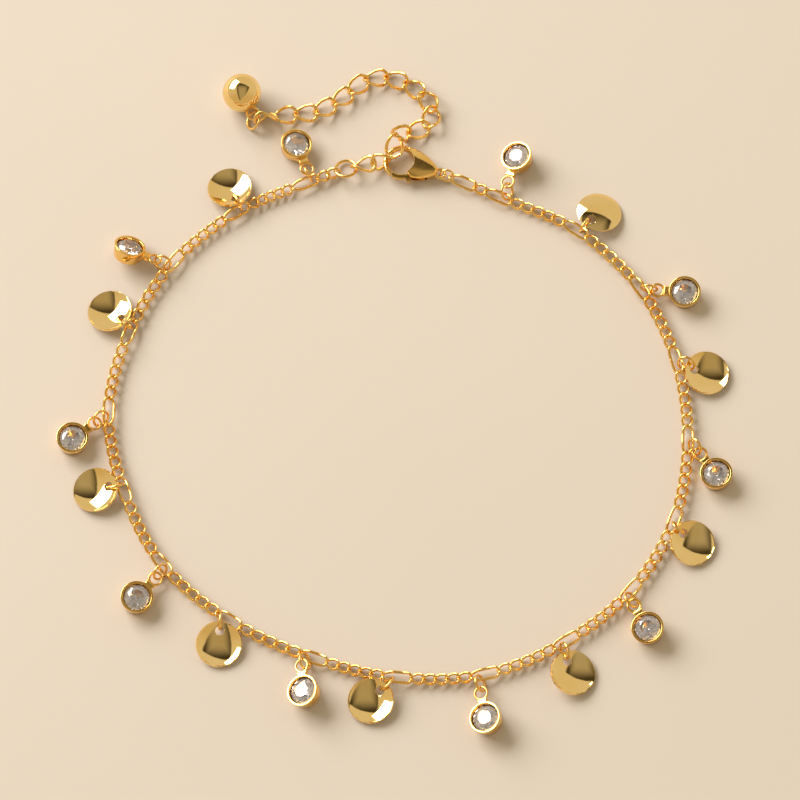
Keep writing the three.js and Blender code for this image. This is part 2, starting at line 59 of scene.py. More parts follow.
# From the photograph's middle to the middle of the anklet's footprint
FOOTPRINT_SHIFT = Vector((0.7736, -0.6012, 0))

# Camera
VIEW_ELEVATION = 69
CAMERA_DISTANCE = 587.25
CAMERA_LENS = 202.5

# Studio: an overhead screen given by slopes from the vertical, the room's colours, and panels as azimuth and
# elevation in degrees, distance and size in metres, power and colour
SCREEN = {"far": (0.7, 0.6), "left": (-0.6, -0.5), "right": (0.95, 0.75), "turn": -0.3, "widen": -0.45,
          "fade": (-0.1, 0.62), "sides": (0.2, 0.75), "middle": 0.1, "dark": (0.07, 0.055, 0.03),
          "light": (0.6, 0.52, 0.38)}
ROOM = {"fade": (-0.7, 0.1), "near": (0.86, 0.68, 0.42), "far": (1.0, 0.88, 0.68), "strength": 0.72}
PANELS = {"window": (140, 33, 1.4, (1.25, 0.85), 29, (1.0, 0.96, 0.96))}

# Chain and wires
LONG_LINK = {"length": 4.3, "width": 1.75, "wire": 0.41, "height": 0.86}
SMALL_LINK = {"length": 2.2, "width": 1.7, "wire": 0.41, "height": 0.7, "step": 1.5}
EXTENDER_LINK = {"length": 3.66, "width": 2.7, "wire": 0.46, "step": 2.76}
END_RING = {"radius": 1.43, "wire": 0.42, "x": -7.16, "y": 32.59, "z": 0.92, "heading": 18, "roll": -20}
CLASP_RING = {"radius": 0.88, "wire": 0.32}
CLASP_RING_LEAN = 60
DROP_RING = {"radius": 1.07, "wire": 0.34}
BALL_RING = {"radius": 1.2, "wire": 0.36}
BALL_RING_PLACE = {"x": -19.55, "y": 39.56, "heading": 270}
BALL_RING_LEAN = 47
RING_ALONG_LINK = 0.85
RING_ABOVE_TABLE = 0.02

# Stone drop
CUP = {"base": 1.85, "rim": 2.12, "height": 1.85, "lip": 1.78, "seat": 1.3, "foot": 0.22, "floor": 0.06}
LOOP_TO_CUP = 3.6
BAIL_LOOP = {"radius": 0.83, "wire": 0.34}
BAIL_HEIGHT = 0.95
BAR = {"width": 1.5, "depth": 0.7, "neck": 0.5, "foot_back": 0.42}
STONE = {"girdle": 1.66, "table": 0.95, "top": 1.98, "girdle_high": 1.48, "girdle_low": 1.38, "culet": 0.12}

# Dished disc
DISC = {"radius": 2.85, "depth": 0.75, "sheet": 0.28, "hole": 1.2, "hole_from_rim": 1.05}

# Ball drop
BALL = {"radius": 2.6, "loop": 0.8, "wire": 0.36, "loop_from_centre": 2.8, "loop_height": 1.15}
BALL_PLACE = {"x": -19.6, "y": 40.5, "heading": 122}

# Clasp, in its own frame: the middle of its opening is at the origin and its tail points along +X
CLASP_PLACE = {"x": 0.2, "y": 33.4, "heading": -17}
CLASP_THICK = 2.0
CLAW = {"radius": 2.1, "side": 0.38, "rise": 0.42, "from": 62, "to": 250}
CLASP_CUTS = {"from": -46, "to": 70}
# Sections of the clasp's body from the tail to the claw: place, spine side, belly side and thickness
CLASP_SECTIONS = (
    (4.93, 0.46, -0.46, 1.2), (4.85, 0.58, -0.56, 1.55), (4.62, 0.78, -0.75, 1.84), (4.2, 1.08, -1.03, 1.97),
    (3.75, 1.39, -1.3, 2.0), (3.3, 1.66, -1.52, 2.0), (2.8, 1.89, -1.69, 2.0), (2.3, 2.07, -1.79, 2.0),
    (1.8, 2.21, -1.84, 2.0), (1.3, 2.3, -1.84, 2.0), (0.5, 2.37, -1.84, 2.0),
)
CLASP_EYE = {"x": 5.4, "radius": 0.62, "wire": 0.4}
SLOT = {"low": 0.64, "high": 1.36, "near": 0.2, "far": 3.9, "roof": 1.4, "back_roof": 0.1, "below": -4}
LEVER = {"low": 0.74, "high": 1.26, "half": 0.32, "from": -120, "to": -32, "boss": 0.62, "sweep": 4.0}
LEVER_TAB = {"from": -60, "to": -46, "reach": 0.62}
PIVOT = {"x": 3.1, "y": -0.75, "pin": 0.22, "bore": 0.34}
HOOK_TIP = {"reach": 4.1, "heading": 197}
LEVER_TIP = {"reach": 4.0, "heading": 195}

# Long links in order, clockwise from the clasp, each by its middle
LONG_LINKS = (
    (8.3, 30.7),
    (13.0, 28.6),
    (23.2, 23.9),
    (31.5, 15.6),
    (36.1, 5.4),
    (37.4, -5.8),
    (35.4, -16.9),
    (29.6, -26.5),
    (21.2, -33.3),
    (10.8, -37.7),
    (-0.4, -38.1),
    (-11.1, -35.5),
    (-21.9, -30.4),
    (-30.6, -22.8),
    (-35.7, -12.8),
    (-37.9, -1.9),
    (-35.5, 9.1),
    (-29.9, 19.1),
    (-21.7, 26.3),
    (-12.6, 30.5),
)
CHAIN_START = (5.9, 31.8)
CHAIN_END = (-7.1, 32.6)
SMALL_LINKS_IN_RUN = 5
END_ROLLS = (0, 35)

# Drops in order, the first on the second long link: kind, the link's end that holds the ring, the drop's swing
# and its ring's lean in degrees, then how far out of the rail the ring's middle and the drop hang, how far the
# drop lies aside, and its roll and pitch in degrees
DROPS = (
    ("stone", 1, 2, 51, 0.39, 0.84, 0.11, -18, 3),
    ("domed disc", 1, -3, 88, 0.28, 1.43, -0.23, 0, 12),
    ("stone", 1, -42, -88, 0.22, 0.54, 0.06, 6, 2),
    ("disc", 1, -32, 60, 0.46, 1.5, -0.33, 0, 7),
    ("stone", 1, -54, 63, 0.33, 0.67, 0.14, 4, 2),
    ("disc", 1, -27, -65, 0.21, 0.99, -0.03, -2, 11),
    ("stone", 1, -20, -47, 0.25, 0.33, 0.05, 12, 1),
    ("disc", 1, -8, 70, 0.45, 1.61, -0.31, -12, 6),
    ("stone", 1, -1, -56, 0.46, 1.09, 0.14, 20, 5),
    ("disc", 1, -36, 66, 0.49, 1.65, -0.09, 0, 8),
    ("stone", 1, 26, -53, 0.21, 0.1, -0.1, 24, 4),
    ("disc", 1, 30, 87, 0.24, 1.37, 0.02, -3, 11),
    ("stone", -1, 11, -67, 0.25, 0.52, 0, -8, 2),
    ("disc", 1, -6, 62, 0.2, 0.97, -0.09, 0, 12),
    ("stone", -1, 40, -59, 0.4, 0.64, -0.12, -3, 2),
    ("disc", 1, -16, 62, 0.26, 1.19, -0.29, 0, 9),
    ("stone", -1, 23, -58, 0.33, 0.74, 0.34, 32, 8),
    ("disc", 1, -6, 88, 0.2, 0.97, -0.05, 0, 10),
    ("stone", 1, 2, 77, 0.25, 0.22, 0.01, 11, 1),
)

# Extender links in order from the end ring: heading, climb and roll in degrees, and the next link's lift
EXTENDER_START = (-6.22, 32.8, 0.97)
EXTENDER_LINKS = (
    (9, 4, -25, 0),
    (16, 5, 74, 0.67),
    (83, 11, 21, 0),
    (33, -43, 16, 0),
    (19, 5, 14, 0),
    (72, -2, 5, 0),
    (126, 0, -7, 0),
    (143, 0, 2, 0),
    (163, 0, -4, 0),
    (187, 0, 4, 0),
    (223, 0, -5, 0),
    (218, 0, 3, 0),
    (208, 0, -4, 0),
    (184, 0, 2, 0),
    (189, 0, 3, 0),
    (197, 24, 74, 0),
)


# Modelling helpers

def begin(primitive, **settings):
    """Adds a primitive with nothing else selected and opens it for editing."""
    if bpy.context.object and bpy.context.object.mode != "OBJECT":
        bpy.ops.object.mode_set(mode="OBJECT")
    bpy.ops.object.select_all(action="DESELECT")
    primitive(**settings)
    bpy.ops.object.mode_set(mode="EDIT")
    return bpy.context.object


def pick_points(test):
    """Selects the points of the open mesh that pass the test."""
    bpy.ops.mesh.select_mode(type="VERT")
    mesh = bmesh.from_edit_mesh(bpy.context.object.data)
    for vert in mesh.verts:
        vert.select = test(vert.co)
    mesh.select_flush_mode()
    bmesh.update_edit_mesh(bpy.context.object.data)


def pick_edges(test):
    """Selects the edges whose two points pass the test."""
    bpy.ops.mesh.select_mode(type="EDGE")
    mesh = bmesh.from_edit_mesh(bpy.context.object.data)
    for face in mesh.faces:
        face.select = False
    for edge in mesh.edges:
        edge.select = test(edge.verts[0].co, edge.verts[1].co)
    bmesh.update_edit_mesh(bpy.context.object.data)


def pick_faces(test):
    """Selects the faces that pass a test of their middle and normal."""
    bpy.ops.mesh.select_mode(type="FACE")
    mesh = bmesh.from_edit_mesh(bpy.context.object.data)
    mesh.normal_update()
    for face in mesh.faces:
        face.select = test(face.calc_center_median(), face.normal)
    mesh.select_flush_mode()
    bmesh.update_edit_mesh(bpy.context.object.data)


def turn(degrees, axis, centre=(0, 0, 0)):
    """Turns what is selected by the right-hand rule. With no window the operator turns the other way."""
    bpy.ops.transform.rotate(value=-math.radians(degrees), orient_axis=axis, center_override=centre)


def spin(degrees, steps):
    """Sweeps what is selected about the upright axis, by the right-hand rule as in turn."""
    bpy.ops.mesh.spin(steps=steps, angle=-math.radians(degrees), center=(0, 0, 0), axis=(0, 0, 1))


def finish_mesh(smooth_angle=None):
    """Merges doubles, points the faces outwards and shades the piece."""
    piece = bpy.context.object
    bpy.ops.mesh.select_mode(type="VERT")
    bpy.ops.mesh.select_all(action="SELECT")
    bpy.ops.mesh.remove_doubles(threshold=0.0005)
    bpy.ops.mesh.normals_make_consistent(inside=False)
    bpy.ops.object.mode_set(mode="OBJECT")
    if smooth_angle is None:
        bpy.ops.object.shade_flat()
    else:
        bpy.ops.object.shade_smooth_by_angle(angle=math.radians(smooth_angle))
    return piece


def apply_modifier(piece, kind, **settings):
    bpy.context.view_layer.objects.active = piece
    modifier = piece.modifiers.new(kind.lower(), kind)
    for name, value in settings.items():
        setattr(modifier, name, value)
    bpy.ops.object.modifier_apply(modifier=modifier.name)


def cut_away(piece, cutter):
    """Cuts the second piece out of the first and removes it."""
    apply_modifier(piece, "BOOLEAN", operation="DIFFERENCE", object=cutter, solver="EXACT")
    bpy.data.objects.remove(cutter)


def join_pieces(pieces, name):
    bpy.ops.object.select_all(action="DESELECT")
    for piece in pieces:
        piece.select_set(True)
    bpy.context.view_layer.objects.active = pieces[0]
    if len(pieces) > 1:
        bpy.ops.object.join()
    pieces[0].name = name
    return pieces[0]


def copied(model, matrix):
    """A copy of a model with its own mesh, moved there by the matrix."""
    piece = model.copy()
    piece.data = model.data.copy()
    piece.data.transform(matrix)
    bpy.context.scene.collection.objects.link(piece)
    return piece


def settle(piece, name, body, material, slot, *nodes):
    """Gives a piece in millimetres its place in the frame, its name, finish, body and CAD nodes."""
    piece.data.transform(piece.matrix_world)
    piece.matrix_world = Matrix.Identity(4)
    piece.data.transform(Matrix.Scale(MM, 4) @ Matrix.Translation(FOOTPRINT_SHIFT))
    piece.name = name
    piece.data.name = name
    piece.data.materials.clear()
    piece.data.materials.append(material)
    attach(piece, body)
    if nodes:
        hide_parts(*nodes)
    return piece


def placing(x, y, z, heading=0, climb=0, roll=0):
    """A place and direction: heading in plan, climb above it and roll about it, in degrees."""
    return (Matrix.Translation((x, y, z))
            @ Matrix.Rotation(math.radians(heading), 4, "Z")
            @ Matrix.Rotation(math.radians(-climb), 4, "Y")
            @ Matrix.Rotation(math.radians(roll), 4, "X"))


def lower_to(piece, height):
    """Moves a piece in millimetres so that its lowest point is at the height."""
    lowest = min(vert.co.z for vert in piece.data.vertices)
    piece.data.transform(Matrix.Translation((0, 0, height - lowest)))


# Route of the chain

def route_point(share):
    """A point on the smooth line through the long links. A whole number is a link's middle."""
    knots = [Vector(CHAIN_START)] + [Vector(row) for row in LONG_LINKS] + [Vector(CHAIN_END)]
    index = min(int(share), len(knots) - 2)
    local = share - index
    here, after = knots[index], knots[index + 1]
    before = knots[index - 1] if index else here * 2 - after
    beyond = knots[index + 2] if index + 2 < len(knots) else after * 2 - here
    leave = knot_pull(before, here, after) * math.sqrt((after - here).length)
    arrive = knot_pull(here, after, beyond) * math.sqrt((after - here).length)
    return (here * (2 * local ** 3 - 3 * local ** 2 + 1) + leave * (local ** 3 - 2 * local ** 2 + local)
            + after * (3 * local ** 2 - 2 * local ** 3) + arrive * (local ** 3 - local ** 2))


def knot_pull(before, here, after):
    """The line's direction at a knot, weighted by the root of the distance to each side."""
    first = math.sqrt((here - before).length)
    second = math.sqrt((after - here).length)
    return ((here - before) / first - (after - before) / (first + second) + (after - here) / second)


def link_heading(index):
    knots = [Vector(CHAIN_START)] + [Vector(row) for row in LONG_LINKS] + [Vector(CHAIN_END)]
    pull = knot_pull(knots[index], knots[index + 1], knots[index + 2])
    return math.degrees(math.atan2(pull.y, pull.x))


def link_end(index, end):
    """The middle of the wire at one end of a long link, in plan."""
    heading = math.radians(link_heading(index))
    reach = end * (LONG_LINK["length"] - LONG_LINK["wire"]) / 2
    x, y = LONG_LINKS[index]
    return Vector((x + reach * math.cos(heading), y + reach * math.sin(heading)))


# Models of the repeated shapes, each made once

def model_link(name, size, twist, twist_from, around, sides, cuts=0):
    """An oval wire link whose two ends are turned about its length, one way and the other."""
    half_width = (size["width"] - size["wire"]) / 2
    begin(bpy.ops.mesh.primitive_torus_add, major_segments=around, minor_segments=sides,
          major_radius=half_width, minor_radius=size["wire"] / 2)
    stretch = (size["length"] - size["width"]) / 2
    for side in (1, -1):
        pick_points(lambda co: co.x * side > 0.01)
        bpy.ops.transform.translate(value=(side * stretch, 0, 0))
    if cuts:
        pick_edges(lambda a, b: abs(a.x - b.x) > stretch * 0.9)
        bpy.ops.mesh.subdivide(number_cuts=cuts)
    steps = 8
    reach = (size["length"] - size["wire"]) / 2
    for step in range(steps):
        edge = twist_from + (reach - twist_from) * (step + 0.2) / steps
        for side in (1, -1):
            pick_points(lambda co: co.x * side > edge)
            turn(side * twist / steps, "X")
    link = finish_mesh(smooth_angle=60)
    link.name = name
    return link


def model_jump_ring(name, radius, wire, opening=5, steps=36, sides=10):
    """A round wire ring with the fine slit where it was closed."""
    begin(bpy.ops.mesh.primitive_circle_add, vertices=sides, radius=wire / 2, fill_type="NGON",
          location=(radius, 0, 0), rotation=(math.pi / 2, 0, 0))
    bpy.ops.object.mode_set(mode="OBJECT")
    bpy.ops.object.transform_apply(location=True, rotation=True, scale=True)
    bpy.ops.object.mode_set(mode="EDIT")
    bpy.ops.mesh.select_all(action="SELECT")
    spin(360 - opening, steps)
    ring = finish_mesh(smooth_angle=50)
    ring.name = name
    return ring


def model_disc(name):
    """A thin dished disc with a rounded rim and a drilled hole on its -X side."""
    bend = (DISC["radius"] ** 2 + DISC["depth"] ** 2) / (2 * DISC["depth"])
    begin(bpy.ops.mesh.primitive_uv_sphere_add, segments=64, ring_count=64, radius=bend, location=(0, 0, 0))
    bpy.ops.mesh.select_all(action="SELECT")
    bpy.ops.mesh.bisect(plane_co=(0, 0, DISC["depth"] - bend), plane_no=(0, 0, 1), clear_outer=True)
    bpy.ops.mesh.select_all(action="SELECT")
    bpy.ops.transform.translate(value=(0, 0, bend))
    bpy.ops.mesh.flip_normals()
    disc = finish_mesh(smooth_angle=40)
    disc.name = name
    apply_modifier(disc, "SOLIDIFY", thickness=DISC["sheet"], offset=1)
    raise_bowl(disc)
    cutter = hole_cutter(bend)
    cut_away(disc, cutter)
    apply_modifier(disc, "BEVEL", width=0.07, segments=3, limit_method="ANGLE", angle_limit=math.radians(50))
    bpy.ops.object.shade_smooth_by_angle(angle=math.radians(35))
    return disc


def raise_bowl(disc):
    """Points the shell outwards and sets its lowest point at the origin."""
    bpy.ops.object.mode_set(mode="EDIT")
    bpy.ops.mesh.select_all(action="SELECT")
    bpy.ops.mesh.normals_make_consistent(inside=False)
    bpy.ops.object.mode_set(mode="OBJECT")
    lower_to(disc, 0)


def hole_cutter(bend):
    reach = DISC["radius"] - DISC["hole_from_rim"]
    slope = math.asin(reach / bend)
    begin(bpy.ops.mesh.primitive_cylinder_add, vertices=32, radius=DISC["hole"] / 2, depth=4)
    cutter = finish_mesh(smooth_angle=30)
    cutter.data.transform(placing(-reach, 0, 0.4) @ Matrix.Rotation(slope, 4, "Y"))
    return cutter


def model_bezel(name):
    """The cup with its burnished rim, the shoulders, the flat bar and the soldered loop."""
    cup = model_cup()
    bar = model_bar()
    begin(bpy.ops.mesh.primitive_torus_add, major_segments=40, minor_segments=12,
          major_radius=BAIL_LOOP["radius"], minor_radius=BAIL_LOOP["wire"] / 2,
          location=(0, 0, BAIL_HEIGHT))
    loop = finish_mesh(smooth_angle=60)
    bpy.ops.object.select_all(action="SELECT")
    bezel = join_pieces([cup, bar, loop], name)
    bpy.ops.object.transform_apply(location=True, rotation=True, scale=True)
    return bezel


def model_cup():
    """A tapered cup whose wall flares to a burnished rim, hollowed to a funnel that the stone's back fills."""
    middle = (LOOP_TO_CUP, 0, 0)
    begin(bpy.ops.mesh.primitive_cylinder_add, vertices=56, radius=CUP["rim"], depth=CUP["height"],
          location=(LOOP_TO_CUP, 0, CUP["height"] / 2))
    bpy.ops.object.mode_set(mode="OBJECT")
    bpy.ops.object.transform_apply(location=True)
    bpy.ops.object.mode_set(mode="EDIT")
    taper = CUP["base"] / CUP["rim"]
    pick_points(lambda co: co.z < 0.01)
    bpy.ops.transform.resize(value=(taper, taper, 1), center_override=middle)
    pick_faces(lambda centre, normal: normal.z > 0.9)
    bpy.ops.mesh.inset(thickness=CUP["rim"] - CUP["lip"])
    bpy.ops.mesh.extrude_region_move(TRANSFORM_OT_translate={"value": (0, 0, CUP["seat"] - CUP["height"])})
    bpy.ops.mesh.extrude_region_move(TRANSFORM_OT_translate={"value": (0, 0, CUP["floor"] - CUP["seat"])})
    narrow = CUP["foot"] / CUP["lip"]
    bpy.ops.transform.resize(value=(narrow, narrow, 1), center_override=middle)
    pick_edges(lambda a, b: min(a.z, b.z) > CUP["height"] - 0.01)
    bpy.ops.mesh.bevel(offset=0.09, segments=3, affect="EDGES")
    pick_edges(lambda a, b: max(a.z, b.z) < 0.01)
    bpy.ops.mesh.bevel(offset=0.12, segments=2, affect="EDGES")
    return finish_mesh(smooth_angle=40)


def model_bar():
    """The flat bar across the loop, with shoulders that widen until they meet the cup's sides."""
    start = BAIL_LOOP["radius"]
    end = LOOP_TO_CUP - CUP["base"]
    begin(bpy.ops.mesh.primitive_cube_add, size=1, location=((start + end) / 2, 0, BAIL_HEIGHT),
          scale=(end - start, BAR["width"], BAR["depth"]))
    bpy.ops.object.mode_set(mode="OBJECT")
    bpy.ops.object.transform_apply(location=True, rotation=True, scale=True)
    bpy.ops.object.mode_set(mode="EDIT")
    bpy.ops.mesh.select_all(action="SELECT")
    bpy.ops.mesh.subdivide(number_cuts=1)
    neck = start + BAR["neck"]
    pick_points(lambda co: start + 0.1 < co.x < end - 0.1)
    bpy.ops.transform.translate(value=(neck - (start + end) / 2, 0, 0))
    bpy.ops.transform.resize(value=(1, 0.74, 1), center_override=(neck, 0, BAIL_HEIGHT))
    pick_points(lambda co: co.x > end - 0.01 and abs(co.y) > 0.1)
    bpy.ops.transform.translate(value=(BAR["foot_back"], 0, 0))
    bpy.ops.transform.resize(value=(1, 1.7, 1), center_override=(end, 0, BAIL_HEIGHT))
    bar = finish_mesh(smooth_angle=40)
    apply_modifier(bar, "BEVEL", width=0.12, segments=3, limit_method="ANGLE", angle_limit=math.radians(30))
    bpy.ops.object.shade_smooth_by_angle(angle=math.radians(50))
    return bar


def model_stone(name):
    """A round brilliant: table, star, kite and girdle facets above, kite and girdle facets below."""
    half_turn = math.radians(22.5)
    crown_fall = (STONE["top"] - STONE["girdle_high"]) / (STONE["girdle"] - STONE["table"])
    star = 1.3
    star_height = STONE["top"] - (star * math.cos(half_turn) - STONE["table"]) * crown_fall
    lower = 0.5
    lower_height = STONE["culet"] + lower * math.cos(half_turn) * (
        STONE["girdle_low"] - STONE["culet"]) / STONE["girdle"]
    rings = (
        (8, STONE["table"], STONE["top"], 0),
        (8, star, star_height, half_turn),
        (16, STONE["girdle"], STONE["girdle_high"], 0),
        (16, STONE["girdle"], STONE["girdle_low"], 0),
        (8, lower, lower_height, half_turn),
        (8, 0.04, STONE["culet"], 0),
    )
    begin(bpy.ops.mesh.primitive_circle_add, vertices=3, radius=0.01, location=(0, 0, 1.36))
    for count, radius, height, angle in rings:
        bpy.ops.mesh.primitive_circle_add(vertices=count, radius=radius, rotation=(0, 0, angle),
                                          location=(0, 0, height))
    bpy.ops.mesh.select_all(action="SELECT")
    bpy.ops.mesh.convex_hull()
    stone = finish_mesh()
    bpy.ops.object.transform_apply(location=True, rotation=True, scale=True)
    stone.name = name
    return stone


def polar(radius, degrees):
    return radius * math.cos(math.radians(degrees)), radius * math.sin(math.radians(degrees))


def model_clasp_body():
    """A rounded section drawn out from the tail, cut to its share of the claw and slotted for the lever."""
    inner = CLAW["radius"] - CLAW["side"]
    place, spine, belly, thick = CLASP_SECTIONS[0]
    begin(bpy.ops.mesh.primitive_plane_add, size=1)
    bpy.ops.mesh.select_all(action="SELECT")
    bpy.ops.mesh.bevel(offset=0.36, segments=7, affect="VERTICES")
    turn(90, "Y")
    bpy.ops.transform.resize(value=(1, spine - belly, thick), center_override=(0, 0, 0))
    bpy.ops.transform.translate(value=(place, (spine + belly) / 2, CLASP_THICK / 2))
    for before, after in zip(CLASP_SECTIONS, CLASP_SECTIONS[1:]):
        old_middle = (before[1] + before[2]) / 2
        middle = (after[1] + after[2]) / 2
        bpy.ops.mesh.extrude_region_move(
            TRANSFORM_OT_translate={"value": (after[0] - before[0], middle - old_middle, 0)})
        wider = (after[1] - after[2]) / (before[1] - before[2])
        bpy.ops.transform.resize(value=(1, wider, after[3] / before[3]),
                                 center_override=(after[0], middle, CLASP_THICK / 2))
    cut_face(CLASP_CUTS["to"], 90)
    cut_face(CLASP_CUTS["from"], -90)
    body = finish_mesh()
    begin(bpy.ops.mesh.primitive_cylinder_add, vertices=96, radius=inner, depth=3 * CLASP_THICK)
    cut_away(body, finish_mesh())
    apply_modifier(body, "BEVEL", width=0.14, segments=4, limit_method="ANGLE", angle_limit=math.radians(40))
    cut_away(body, slot_cutter())
    shade_by_angle(body, 40)
    return body


def cut_face(degrees, side):
    """Cuts off what lies beyond a plane through the claw's middle and closes the cut."""
    bpy.ops.mesh.select_all(action="SELECT")
    bpy.ops.mesh.bisect(plane_co=(0, 0, 0), plane_no=(*polar(1, degrees + side), 0), use_fill=True,
                        clear_outer=True)


def shade_by_angle(piece, degrees):
    bpy.ops.object.select_all(action="DESELECT")
    piece.select_set(True)
    bpy.context.view_layer.objects.active = piece
    bpy.ops.object.shade_smooth_by_angle(angle=math.radians(degrees))


def slot_cutter():
    """The slot for the lever, with a roof that slopes down towards the tail."""
    low, high = SLOT["low"], SLOT["high"]
    begin(bpy.ops.mesh.primitive_cube_add, size=1,
          location=((SLOT["near"] + SLOT["far"]) / 2, (SLOT["roof"] + SLOT["below"]) / 2, (low + high) / 2),
          scale=(SLOT["far"] - SLOT["near"], SLOT["roof"] - SLOT["below"], high - low))
    bpy.ops.object.mode_set(mode="OBJECT")
    bpy.ops.object.transform_apply(location=True, rotation=True, scale=True)
    bpy.ops.object.mode_set(mode="EDIT")
    pick_points(lambda co: co.y > 0 and co.x > 2)
    bpy.ops.transform.translate(value=(0, SLOT["back_roof"] - SLOT["roof"], 0))
    return finish_mesh()


def model_hook():
    """An oval section spun round the claw's opening, thickening into the body and cut off by the lever's tip."""
    begin(bpy.ops.mesh.primitive_circle_add, vertices=20, radius=1, fill_type="NGON")
    bpy.ops.mesh.select_all(action="SELECT")
    bpy.ops.transform.resize(value=(CLAW["side"], CLAW["rise"], 1), center_override=(0, 0, 0))
    turn(90, "X")
    bpy.ops.transform.translate(value=(CLAW["radius"], 0, CLASP_THICK / 2))
    turn(CLAW["from"], "Z")
    spin(CLAW["to"] - CLAW["from"], 56)
    for limit in (118, 110, 102, 94, 86, 78):
        pick_points(lambda co: 0 < math.degrees(math.atan2(co.y, co.x)) < limit)
        bpy.ops.transform.resize(value=(1, 1, 1.1), center_override=(0, 0, CLASP_THICK / 2))
    trim_tip(HOOK_TIP, lambda co: co.y < -1.2, outer=False)
    hook = finish_mesh(smooth_angle=50)
    apply_modifier(hook, "BEVEL", width=0.08, segments=3, limit_method="ANGLE", angle_limit=math.radians(50))
    shade_by_angle(hook, 50)
    return hook


def trim_tip(tip, near_tip, outer):
    """Cuts a tip off square to its direction from the pin, at a given distance from it."""
    side = polar(1, tip["heading"])
    spot = (PIVOT["x"] + tip["reach"] * side[0], PIVOT["y"] + tip["reach"] * side[1], 0)
    pick_points(near_tip)
    bpy.ops.mesh.bisect(plane_co=spot, plane_no=(*side, 0), use_fill=True, clear_outer=outer,
                        clear_inner=not outer)


def model_pin():
    """The rivet that the lever turns on, between the slot's two walls."""
    begin(bpy.ops.mesh.primitive_cylinder_add, vertices=24, radius=PIVOT["pin"],
          depth=SLOT["high"] - SLOT["low"] + 0.2, location=(PIVOT["x"], PIVOT["y"], CLASP_THICK / 2))
    pin = finish_mesh(smooth_angle=40)
    bpy.ops.object.transform_apply(location=True)
    return pin


def model_eye():
    begin(bpy.ops.mesh.primitive_torus_add, major_segments=40, minor_segments=14,
          major_radius=CLASP_EYE["radius"], minor_radius=CLASP_EYE["wire"] / 2,
          location=(CLASP_EYE["x"], 0, CLASP_THICK / 2))
    eye = finish_mesh(smooth_angle=60)
    bpy.ops.object.transform_apply(location=True)
    return eye


def model_lever():
    """The lever: an arm spun round the opening, a thumb tab pushed out of it and a bored boss on the pin."""
    thick = LEVER["high"] - LEVER["low"]
    begin(bpy.ops.mesh.primitive_plane_add, size=1)
    bpy.ops.mesh.select_all(action="SELECT")
    bpy.ops.transform.resize(value=(2 * LEVER["half"], thick, 1), center_override=(0, 0, 0))
    turn(90, "X")
    bpy.ops.transform.translate(value=(CLAW["radius"], 0, CLASP_THICK / 2))
    turn(LEVER["from"], "Z")
    spin(LEVER["to"] - LEVER["from"], 44)
    outer = CLAW["radius"] + LEVER["half"]
    pick_faces(lambda middle, normal: middle.xy.length > outer - 0.05
               and LEVER_TAB["from"] < math.degrees(math.atan2(middle.y, middle.x)) < LEVER_TAB["to"])
    away = polar(LEVER_TAB["reach"], (LEVER_TAB["from"] + LEVER_TAB["to"]) / 2)
    bpy.ops.mesh.extrude_region_move(TRANSFORM_OT_translate={"value": (*away, 0)})
    trim_tip(LEVER_TIP, lambda co: co.x < 0.4, outer=True)
    arm = finish_mesh()
    begin(bpy.ops.mesh.primitive_cylinder_add, vertices=40, radius=LEVER["boss"], depth=thick,
          location=(PIVOT["x"], PIVOT["y"], CLASP_THICK / 2))
    bpy.ops.object.mode_set(mode="OBJECT")
    bpy.ops.object.transform_apply(location=True)
    bpy.ops.object.mode_set(mode="EDIT")
    pick_points(lambda co: co.x < PIVOT["x"] - 0.3)
    bpy.ops.transform.translate(value=(-0.75, 0, 0))
    boss = finish_mesh()
    for piece in (arm, boss):
        apply_modifier(piece, "BEVEL", width=0.12, segments=3, limit_method="ANGLE",
                       angle_limit=math.radians(50))
    begin(bpy.ops.mesh.primitive_cylinder_add, vertices=40, radius=PIVOT["bore"], depth=3 * thick,
          location=(PIVOT["x"], PIVOT["y"], CLASP_THICK / 2))
    cut_away(boss, finish_mesh())
    lever = join_pieces([arm, boss], "lever")
    bpy.ops.object.transform_apply(location=True, rotation=True, scale=True)
    shade_by_angle(lever, 45)
    return lever


# Materials

def new_group(name, inputs, outputs):
    """A node group with named number, colour or vector sockets. Returns it with its input and output nodes."""
    group = bpy.data.node_groups.new(name, "ShaderNodeTree")
    for label, kind in inputs:
        group.interface.new_socket(name=label, in_out="INPUT", socket_type=kind)
    for label, kind in outputs:
        group.interface.new_socket(name=label, in_out="OUTPUT", socket_type=kind)
    return group, group.nodes.new("NodeGroupInput"), group.nodes.new("NodeGroupOutput")


def noise(group, points, scale, detail=3):
    texture = group.nodes.new("ShaderNodeTexNoise")
    texture.inputs["Scale"].default_value = scale
    texture.inputs["Detail"].default_value = detail
    group.links.new(points, texture.inputs["Vector"])
    return texture.outputs["Fac"]


def spread(group, value, low, high):
    """Spreads a mask from 0 to 1 over a range of two values, which may be sockets."""
    node = group.nodes.new("ShaderNodeMapRange")
    node.inputs["From Min"].default_value = 0.3
    node.inputs["From Max"].default_value = 0.7
    group.links.new(value, node.inputs["Value"])
    for limit, label in ((low, "To Min"), (high, "To Max")):
        if hasattr(limit, "is_linked"):
            group.links.new(limit, node.inputs[label])
        else:
            node.inputs[label].default_value = limit
    return node.outputs["Result"]


